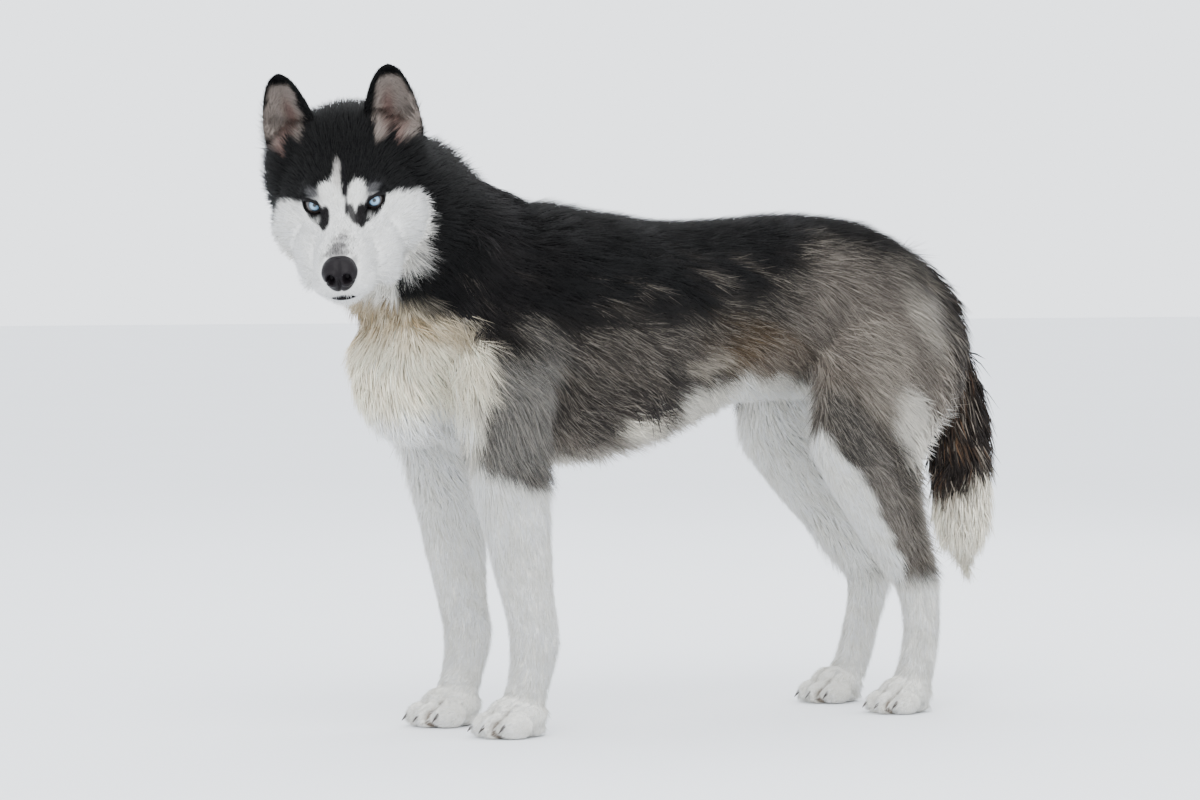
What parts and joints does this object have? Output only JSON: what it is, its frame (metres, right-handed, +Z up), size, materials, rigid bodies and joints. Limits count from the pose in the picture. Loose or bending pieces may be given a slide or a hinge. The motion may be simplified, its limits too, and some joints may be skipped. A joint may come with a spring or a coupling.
{
  "type": "siberian husky model",
  "caption": "Still, life-size model of a siberian husky standing on four feet with its head turned to its left and its tail hanging down.",
  "frame": {"origin": "on the floor, under the middle of the whole model's bounding box, with all four soles at z = 0", "axes": "+X towards the animal's front, +Y to its left, +Z up; metres"},
  "size_m": [0.9186, 0.2638, 0.7096],
  "materials": {
    "black_coat": "long black outer coat of the head's cap, mane, back and ears, softly glossy along the hair",
    "grey_coat": "dark grey to brown-grey coat of the flanks, thighs and tail, paler towards the underside",
    "white_coat": "short white coat of the legs and feet",
    "nose_leather": "dark moist leather with fine pebbling",
    "claw_horn": "dark smooth horn",
    "eye": "glossy pale ice-blue iris with a small dark pupil"
  },
  "bodies": {
    "root": {"chest": "black_coat", "claw_forepaw_left_1": "claw_horn", "claw_forepaw_left_2": "claw_horn", "claw_forepaw_left_3": "claw_horn", "claw_forepaw_left_4": "claw_horn", "claw_forepaw_right_1": "claw_horn", "claw_forepaw_right_2": "claw_horn", "claw_forepaw_right_3": "claw_horn", "claw_forepaw_right_4": "claw_horn", "claw_hindpaw_left_1": "claw_horn", "claw_hindpaw_left_2": "claw_horn", "claw_hindpaw_left_3": "claw_horn", "claw_hindpaw_left_4": "claw_horn", "claw_hindpaw_right_1": "claw_horn", "claw_hindpaw_right_2": "claw_horn", "claw_hindpaw_right_3": "claw_horn", "claw_hindpaw_right_4": "claw_horn", "ear_left": "black_coat", "ear_right": "black_coat", "eye_left": "eye", "eye_right": "eye", "foreleg_lower_left": "white_coat", "foreleg_lower_right": "white_coat", "foreleg_upper_left": "grey_coat", "foreleg_upper_right": "grey_coat", "forepaw_left": "white_coat", "forepaw_right": "white_coat", "head": "black_coat", "hindleg_lower_left": "white_coat", "hindleg_lower_right": "white_coat", "hindleg_upper_left": "grey_coat", "hindleg_upper_right": "grey_coat", "hindpaw_left": "white_coat", "hindpaw_right": "white_coat", "loin": "grey_coat", "neck": "black_coat", "nose": "nose_leather", "rump": "grey_coat", "tail": "grey_coat"}
  },
  "joints": []
}
